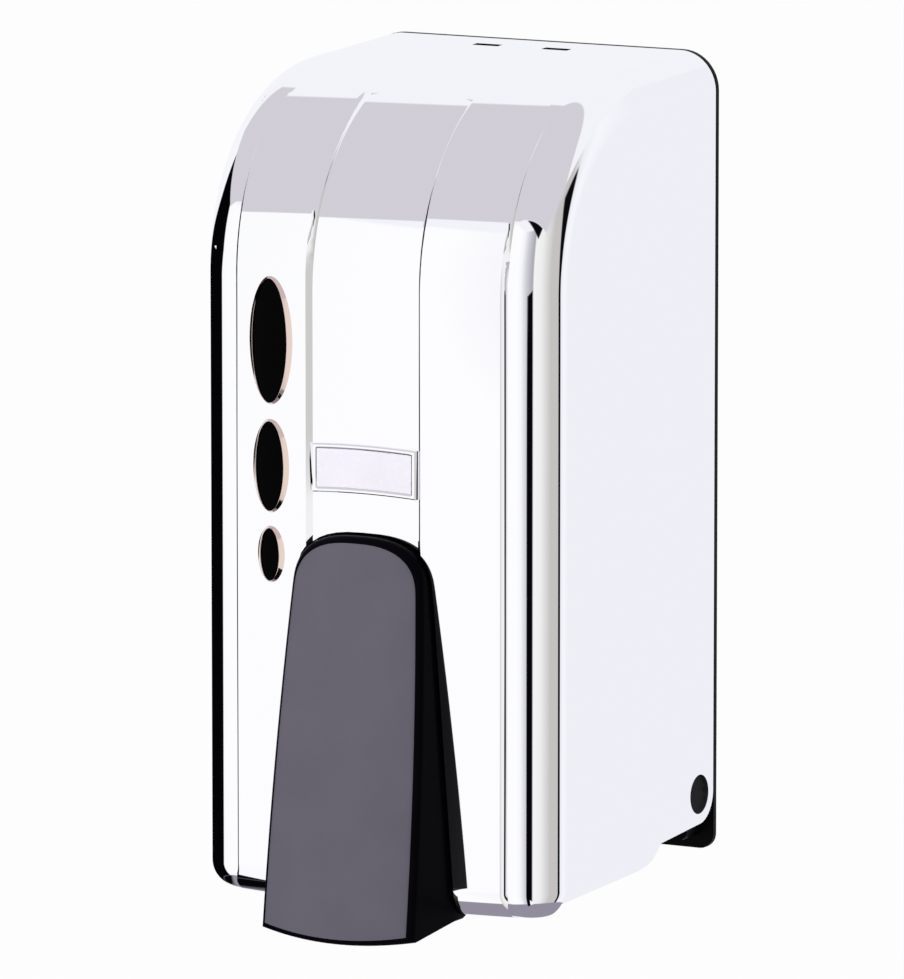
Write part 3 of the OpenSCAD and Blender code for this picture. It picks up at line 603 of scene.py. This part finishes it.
def plate_ring(inset, rise):
    """One ring round the plate's arched outline, drawn in and at a height in front of the strip."""
    half = PLATE_HALF - inset
    ring = []
    for low in (True, False):
        middle = (inset - PLATE_H / 2 if low else PLATE_H / 2 - inset) - PLATE_ARCH
        for step in range(2 * PLATE_STEPS + 1):
            x = half * (step / PLATE_STEPS - 1) * (1 if low else -1)
            ring.append((x, crown_y(x, rise), PLATE_Z + middle + math.sqrt(PLATE_ARCH ** 2 - x * x)))
    return ring


def name_plate():
    """The bare plate: a chrome frame with sloped edges round a white field that follows the crown."""
    rings = [plate_ring(inset, rise) for inset, rise in FRAME_STEPS]
    frame_mesh = smooth_mesh(lofted(rings, True), "plate_frame", sharp=30)
    hang(frame_mesh, "plate_frame", [CHROME], ["name_plate"])
    bm = bmesh.new()
    bmesh.ops.create_grid(bm, x_segments=2 * PLATE_STEPS, y_segments=4, size=1)
    half = PLATE_HALF - FIELD_INSET
    for vert in bm.verts:
        x = vert.co.x * half
        rise = vert.co.y * (PLATE_H / 2 - FIELD_INSET)
        arch = math.sqrt(PLATE_ARCH ** 2 - x * x) - PLATE_ARCH
        vert.co = Vector((x, crown_y(x, FIELD_RISE), PLATE_Z + rise + arch)) * MM
    bmesh.ops.recalc_face_normals(bm, faces=bm.faces)
    bmesh.ops.solidify(bm, geom=bm.faces[:], thickness=FIELD_THICK * MM)
    bmesh.ops.recalc_face_normals(bm, faces=bm.faces)
    hang(smooth_mesh(bm, "plate_field"), "plate_field", [LACQUER], [], "cover_unit")


def lever_share(z):
    """Share of the way up the lever, from its foot to its top."""
    return (z - LEVER_FOOT) / (LEVER_TOP - LEVER_FOOT)


def lever_outline(root, low, trim):
    """The lever's outline in X and Z, round its face or round its root in the cover."""
    high = LEVER_TOP - trim

    def half(z):
        if root:
            return LEVER_HALF + ROOT_MORE - ROOT_TAPER * lever_share(z)
        return LEVER_HALF - FACE_TAPER * max(0, lever_share(z)) ** 2

    def arch(z):
        part = max(0, (z - LEVER_TOP + ARCH_H) / ARCH_H)
        return max(0, 1 - part ** ARCH_POWER) ** (1 / ARCH_POWER)

    sides = high - ARCH_H - low - FOOT_BOW
    heights = [low + FOOT_BOW + sides * i / SIDE_STEPS for i in range(SIDE_STEPS + 1)]
    # Points lie closer together towards the top of the arch
    heights += [high - ARCH_H + ARCH_H * math.sin(math.pi / 2 * i / SIDE_STEPS) ** ARCH_CROWD
                for i in range(1, SIDE_STEPS)]
    right = [(half(z) * arch(z + trim), z) for z in heights]
    wide = half(low + FOOT_BOW)
    places = [i / FOOT_STEPS - 1 for i in range(1, 2 * FOOT_STEPS)]
    foot = [(wide * place, low + FOOT_BOW * place ** 2) for place in places]
    return right + [(0, high)] + [(-x, z) for x, z in reversed(right)] + foot


def drawn_in(ring, inset):
    """An outline drawn in towards the lever's middle."""
    middle, tall = (LEVER_TOP + LEVER_FOOT) / 2, (LEVER_TOP - LEVER_FOOT) / 2
    return [(x * (1 - inset / LEVER_HALF), middle + (z - middle) * (1 - inset / tall)) for x, z in ring]


def face_y(x, z):
    """Place of the lever's face, sloped from top to foot and crowned across."""
    stand = LEVER_OUT - (LEVER_OUT - TOP_STAND) * lever_share(z)
    return -COVER_DEPTH - stand - FACE_CROWN + FACE_CROWN * (x / LEVER_HALF) ** 2


def flared(x, z):
    """Width of the lever's skirt behind the cover's front, where it widens a little."""
    low = min(max((z - FLARE_LOW) / FLARE_EASE, 0), 1)
    high = min(max((FLARE_HIGH - z) / FLARE_EASE, 0), 1)
    return x * (1 + FLARE * low * high)


def push_lever():
    """The lever's hollow shell: inside of face and skirt, rim, outside, rounded edge and face."""
    root = lever_outline(True, LEVER_FOOT + ROOT_UP, ROOT_TRIM)
    rim = lever_outline(True, LEVER_FOOT + RIM_UP, ROOT_TRIM)
    face = lever_outline(False, LEVER_FOOT, 0)

    def rear(ring):
        return [(flared(x, z), PIVOT_Y + REAR_FOOT + REAR_MORE * lever_share(z), z) for x, z in ring]

    def on_face(inset, depth):
        return [(x, face_y(x, z) + depth, z) for x, z in drawn_in(face, inset)]

    rings = [on_face(inset, INSIDE_DEPTH) for inset in INSIDE_INSETS]
    rings.append([(x, SKIRT_FRONT, z) for x, z in drawn_in(root, LEVER_WALL)])
    rings += [rear(drawn_in(rim, LEVER_WALL)), rear(rim)]
    rings.append([(flared(x, z), SKIRT_BEHIND + SKIRT_STEP, z) for x, z in root])
    rings += [[(x, y, z) for x, z in root] for y in (SKIRT_BEHIND, SKIRT_FRONT)]
    # The body is black until well round the edge, and the face is grey; the black is partly painted shade
    # where edge and sides turn from the light
    finishes = [1] * len(rings)
    for step in range(EDGE_STEPS + 1):
        turn = math.pi / 2 * step / EDGE_STEPS
        rings.append(on_face(LEVER_ROUND * (1 - math.cos(turn)), LEVER_ROUND * (1 - math.sin(turn))))
        finishes.append(1 if step < GREY_STEP else 0)
    rings += [on_face(inset, 0) for inset in FACE_INSETS]
    finishes += [0] * len(FACE_INSETS)
    shell = bpy.data.objects.new("shell", smooth_mesh(lofted(rings, False, finishes), "shell"))
    # The foot is open behind the face, so that the foam passes to the hand
    bm = bmesh.new()
    bmesh.ops.create_cube(bm, size=MM)
    bmesh.ops.scale(bm, verts=bm.verts, vec=GAP_SIZE)
    middle = Vector((0, GAP_BEHIND - COVER_DEPTH - LEVER_OUT, LEVER_FOOT + GAP_UP))
    bmesh.ops.translate(bm, verts=bm.verts, vec=middle * MM)
    for side in bm.faces:
        side.material_index = 1
    gap = bpy.data.objects.new("gap", smooth_mesh(bm, "gap"))
    for part in (shell, gap):
        scene.collection.objects.link(part)
        # The second finish is black ABS that also carries painted shade on the edge and sides
        for finish in (LEVER_ABS, LEVER_BLACK_AND_SHADE):
            part.data.materials.append(finish)
    cut = shell.modifiers.new("foot_gap", "BOOLEAN")
    cut.object, cut.operation, cut.solver = gap, "DIFFERENCE", "EXACT"
    mesh = bpy.data.meshes.new_from_object(shell.evaluated_get(bpy.context.evaluated_depsgraph_get()))
    for part in (shell, gap):
        bpy.data.objects.remove(part)
    mesh.name = "lever_shell"
    mesh.shade_smooth()
    mesh.set_sharp_from_angle(angle=math.radians(35))
    hang(mesh, "lever_shell", [], ["push_lever"])


def pump_spring():
    """The return spring: a round wire spun into an open coil."""
    bm = bmesh.new()
    steps = COIL_TURNS * TURN_STEPS
    wire = bmesh.ops.create_circle(bm, cap_ends=True, segments=WIRE_SIDES, radius=WIRE_R * MM)["verts"]
    bmesh.ops.rotate(bm, verts=wire, cent=(0, 0, 0), matrix=Vector((0, 0, 1)).rotation_difference(
        Vector((0, -(COIL_REAR - COIL_FRONT), math.tau * COIL_R * COIL_TURNS))).to_matrix())
    bmesh.ops.translate(bm, verts=wire, vec=Vector((COIL_R, COIL_REAR, PUMP_Z)) * MM)
    bmesh.ops.spin(bm, geom=bm.verts[:] + bm.edges[:] + bm.faces[:], cent=Vector((0, 0, PUMP_Z)) * MM,
                   axis=(0, -1, 0), angle=math.tau * COIL_TURNS, steps=steps,
                   dvec=Vector((0, COIL_FRONT - COIL_REAR, 0)) * MM / steps)
    bmesh.ops.remove_doubles(bm, verts=bm.verts, dist=SLIVER * MM)
    bmesh.ops.recalc_face_normals(bm, faces=bm.faces)
    piece = hang(smooth_mesh(bm, "spring_wire"), "spring_wire", [STEEL], ["pump_spring"])
    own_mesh(piece)


cover_shell()
lens_strip()
for count, oval in enumerate(WINDOWS):
    window_trim(count + 1, oval)
name_plate()
push_lever()
pump_spring()
FINISHES = {
    BLACK_ABS: ["back_plate", "hinge_pin_left", "hinge_pin_right", "latch_bar"],
    MILKY_PE: ["tank", "tank_lid", "foam_sleeve"],
    WHITE_PP: ["pump_collar", "pump_body", "pump_end_cap", "pump_stem", "pump_head", "lever_pad"],
    STEEL: ["inlet_ball", "foam_screen_rear", "foam_screen_front", "lever_axle"],
    RUBBER: ["lid_gasket", "pump_gasket", "liquid_seal", "air_seal"],
}
for finish, names in FINISHES.items():
    for name in names:
        nodes[name].data.materials.clear()
        nodes[name].data.materials.append(finish)


def zone(tree, *limits):
    """A mask that is 1 where each value lies between its two limits, and fades over their soft edges."""
    mask = None
    for value, low, high, soft in limits:
        for none, full in ((low - soft, low + soft), (high + soft, high - soft)):
            edge = add(tree, "MapRange", {"Value": value, "From Min": none, "From Max": full})
            share = edge.outputs["Result"]
            if mask is None:
                mask = share
            else:
                mask = add(tree, "Math", {"operation": "MULTIPLY", 0: mask, 1: share}).outputs[0]
    return mask


def studio():
    """The light: a plain white room, with the dark and grey panels that a shiny shell mirrors."""
    world = bpy.data.worlds.new("studio")
    scene.world = world
    world.use_nodes = True
    tree = world.node_tree
    tree.nodes.clear()
    way = add(tree, "SeparateXYZ", None, {0: add(tree, "TexCoord").outputs["Generated"]})
    across, deep, high = (way.outputs[axis] for axis in "XYZ")
    ahead = add(tree, "Math", {"operation": "MULTIPLY", 1: -1.0}, {0: deep})
    round_about = add(tree, "Math", {"operation": "ARCTAN2"}, {0: across, 1: ahead.outputs[0]}).outputs[0]
    turn = add(tree, "MapRange", {"From Min": -math.pi, "From Max": math.pi}, {"Value": round_about})
    walls = add(tree, "ValToRGB", None, {"Fac": turn.outputs["Result"]})
    # White at the front, grey up to the flag, then cream and beige, and white again at the rear
    stops = [(-180, "#F2F3F8"), (-18, "#FFFFFF"), (-6, "#F8F8FB"), (11, "#CCCDD4"), (28, "#A8A7AD"),
             (32, "#F6F5F3"), (52, "#EFEFEE"), (82, "#C6C3C1"), (106, "#C6C2C1"), (118, "#EEEFF3"),
             (130, "#F8F8FD"), (152, "#F0F1F6")]
    ramp = walls.color_ramp
    while len(ramp.elements) < len(stops):
        ramp.elements.new(1.0)
    for element, (angle, shade) in zip(ramp.elements, stops):
        element.position = angle / 360 + 0.5
        element.color = colour(shade)
    # A black board at the left, whose rear edge leans back towards the ground
    low = add(tree, "MapRange", {"Value": high, "From Min": BOARD_TOP, "From Max": BOARD_FOOT})
    lean = add(tree, "Math", {"operation": "POWER", 0: low.outputs["Result"], 1: BOARD_CURVE})
    rear = add(tree, "Math", {"operation": "MULTIPLY_ADD", 0: lean.outputs[0], 1: BOARD_LEAN, 2: BOARD_REAR})
    rear = add(tree, "Math", {"operation": "ADD", 0: round_about, 1: rear.outputs[0]}).outputs[0]
    front = add(tree, "MapRange", {"Value": high, "From Min": BOARD_FOOT, "From Max": BOARD_BEND,
                                   "To Min": BOARD_FRONT_LOW, "To Max": BOARD_FRONT_HIGH}).outputs["Result"]
    front = add(tree, "Math", {"operation": "SUBTRACT", 0: round_about, 1: front}).outputs[0]
    board = zone(tree, (rear, 0, OPEN, DEGREE), (front, -OPEN, 0, DEGREE))
    # A black flag to the right of the camera, with a slanted top
    slant = add(tree, "MapRange", {"Value": round_about, "From Min": FLAG_LEFT, "From Max": SLANT_END,
                                   "To Min": SLANT_LEFT, "To Max": SLANT_RIGHT}).outputs["Result"]
    slant = add(tree, "Math", {"operation": "SUBTRACT", 0: high, 1: slant}).outputs[0]
    flag = zone(tree, (round_about, FLAG_LEFT, FLAG_RIGHT, FLAG_SOFT), (slant, -FLAG_TALL, 0, 0.01))
    # A dark doorway far to the right, wider towards its top
    middle = add(tree, "MapRange", {"Value": high, "From Min": DOOR_MIDDLE_LOW, "From Max": DOOR_MIDDLE_HIGH,
                                    "To Min": DOOR_MIDDLE[0], "To Max": DOOR_MIDDLE[1]}).outputs["Result"]
    half = add(tree, "MapRange", {"Value": high, "From Min": DOOR_HALF_LOW, "From Max": DOOR_HALF_HIGH,
                                  "To Min": DOOR_HALF[0], "To Max": DOOR_HALF[1]}).outputs["Result"]
    off = add(tree, "Math", {"operation": "SUBTRACT", 0: round_about, 1: middle}).outputs[0]
    off = add(tree, "Math", {"operation": "DIVIDE", 0: off, 1: half}).outputs[0]
    doorway = zone(tree, (off, -1, 1, 0.15), (high, -OPEN, DOOR_TOP, 0.02))
    # A grey panel on the ceiling, with a skewed rear edge
    over_x = add(tree, "Math", {"operation": "DIVIDE", 0: across, 1: high}).outputs[0]
    over_y = add(tree, "Math", {"operation": "DIVIDE", 0: deep, 1: high}).outputs[0]
    above = (high, 0.02, OPEN, 0.01)
    skewed = add(tree, "Math", {"operation": "MULTIPLY_ADD", 0: over_x, 1: PANEL_SKEW, 2: over_y}).outputs[0]
    panel = zone(tree, (over_y, PANEL_FRONT, OPEN, 0.015), (skewed, -OPEN, PANEL_REAR, 0.015),
                 (over_x, PANEL_LEFT, OPEN, 0.03), (over_x, -OPEN, PANEL_RIGHT, 0.3), above)
    # A black batten along the panel's front edge, thicker towards the right
    wedge = add(tree, "Math", {"operation": "MULTIPLY_ADD", 0: over_x, 1: BATTEN_SKEW, 2: over_y}).outputs[0]
    batten = zone(tree, (over_y, -OPEN, BATTEN_REAR, 0.02), (wedge, BATTEN_FRONT, OPEN, 0.03),
                  (over_x, BATTEN_LEFT, BATTEN_RIGHT, 0.06), above)
    # The ground, black at the far left
    tilted = add(tree, "Math", {"operation": "MULTIPLY_ADD", 0: deep, 1: GROUND_TILT, 2: high}).outputs[0]
    ground = (tilted, -OPEN, GROUND_TOP, 0.02)
    ceiling = (high, BOARD_TOP, OPEN, 0.01)
    seen = walls.outputs["Color"]
    for mask, shade in [(board, "#040406"), (doorway, "#0B0B0F"), (zone(tree, ceiling), "#F4F5F9"),
                        (panel, "#D2CFD6"), (batten, "#09090B"), (zone(tree, ground), "#938E9C"),
                        (zone(tree, ground, (across, -OPEN, GROUND_LEFT, 0.04)), "#060608"),
                        (flag, "#06060A")]:
        seen = add(tree, "Mix", {"data_type": "RGBA", 0: mask, 6: seen, 7: colour(shade)}).outputs[2]
    rays = add(tree, "LightPath")
    shown = add(tree, "Mix", {"data_type": "RGBA", 6: colour("#FFFFFF")},
                {0: rays.outputs["Is Glossy Ray"], 7: seen})
    direct = add(tree, "Math", {"operation": "MAXIMUM"},
                 {0: rays.outputs["Is Camera Ray"], 1: rays.outputs["Is Glossy Ray"]})
    plain = add(tree, "Math", {"operation": "MAXIMUM"},
                {0: direct.outputs[0], 1: rays.outputs["Is Transmission Ray"]})
    strength = add(tree, "MapRange", {"To Min": ROOM_LIGHT, "To Max": 1.0}, {"Value": plain.outputs[0]})
    sheet = add(tree, "Background", None,
                {"Color": shown.outputs[2], "Strength": strength.outputs["Result"]})
    add(tree, "OutputWorld", None, {"Surface": sheet.outputs[0]})


def floor():
    """A large pale floor that keeps a soft shadow, almost white to the camera and clear from below."""
    bm = bmesh.new()
    bmesh.ops.create_grid(bm, x_segments=1, y_segments=1, size=FLOOR_HALF)
    bmesh.ops.translate(bm, verts=bm.verts, vec=(0, 0, FLOOR_Z))
    mesh = bpy.data.meshes.new("floor")
    bm.to_mesh(mesh)
    bm.free()
    material = bpy.data.materials.new("pale_floor")
    material.use_nodes = True
    tree = material.node_tree
    tree.nodes.clear()
    rays = add(tree, "LightPath")
    lit = add(tree, "BsdfDiffuse", {"Color": colour("#F7F7F7")})
    white = add(tree, "Emission", {"Color": colour("#FFFFFF"), "Strength": 1.0})
    share = add(tree, "Math", {"operation": "MULTIPLY", 1: FLOOR_WHITE}, {0: rays.outputs["Is Camera Ray"]})
    top = add(tree, "MixShader", None, {0: share.outputs[0], 1: lit.outputs[0], 2: white.outputs[0]})
    side = add(tree, "NewGeometry").outputs["Backfacing"]
    below = add(tree, "BsdfTransparent")
    sides = add(tree, "MixShader", None, {0: side, 1: top.outputs[0], 2: below.outputs[0]})
    add(tree, "OutputMaterial", None, {"Surface": sides.outputs[0]})
    mesh.materials.append(material)
    plane = bpy.data.objects.new("floor", mesh)
    scene.collection.objects.link(plane)
    plane.visible_glossy = False


def lamp(name, place, size, power):
    """A square soft light that faces the part."""
    data = bpy.data.lights.new(name, "AREA")
    data.size = size
    data.energy = power
    light = bpy.data.objects.new(name, data)
    light.location = place
    light.rotation_euler = Vector(place).to_track_quat("Z", "Y").to_euler()
    light.visible_glossy = False
    scene.collection.objects.link(light)


def camera():
    """The camera at the photograph's place: 28 degrees to the right and 9 degrees up."""
    level = math.cos(EYE_RISE)
    back = Vector((math.sin(EYE_TURN) * level, -math.cos(EYE_TURN) * level, math.sin(EYE_RISE)))
    data = bpy.data.cameras.new("camera")
    data.lens = LENS_MM
    data.sensor_width = SENSOR_MM
    eye = bpy.data.objects.new("camera", data)
    eye.location = Vector(EYE_AIM) + back * EYE_FAR
    eye.rotation_euler = back.to_track_quat("Z", "Y").to_euler()
    scene.collection.objects.link(eye)
    scene.camera = eye


studio()
floor()
lamp("key_softbox", LAMP_PLACE, LAMP_SIZE, LAMP_POWER)
camera()
scene.view_settings.view_transform = "Standard"
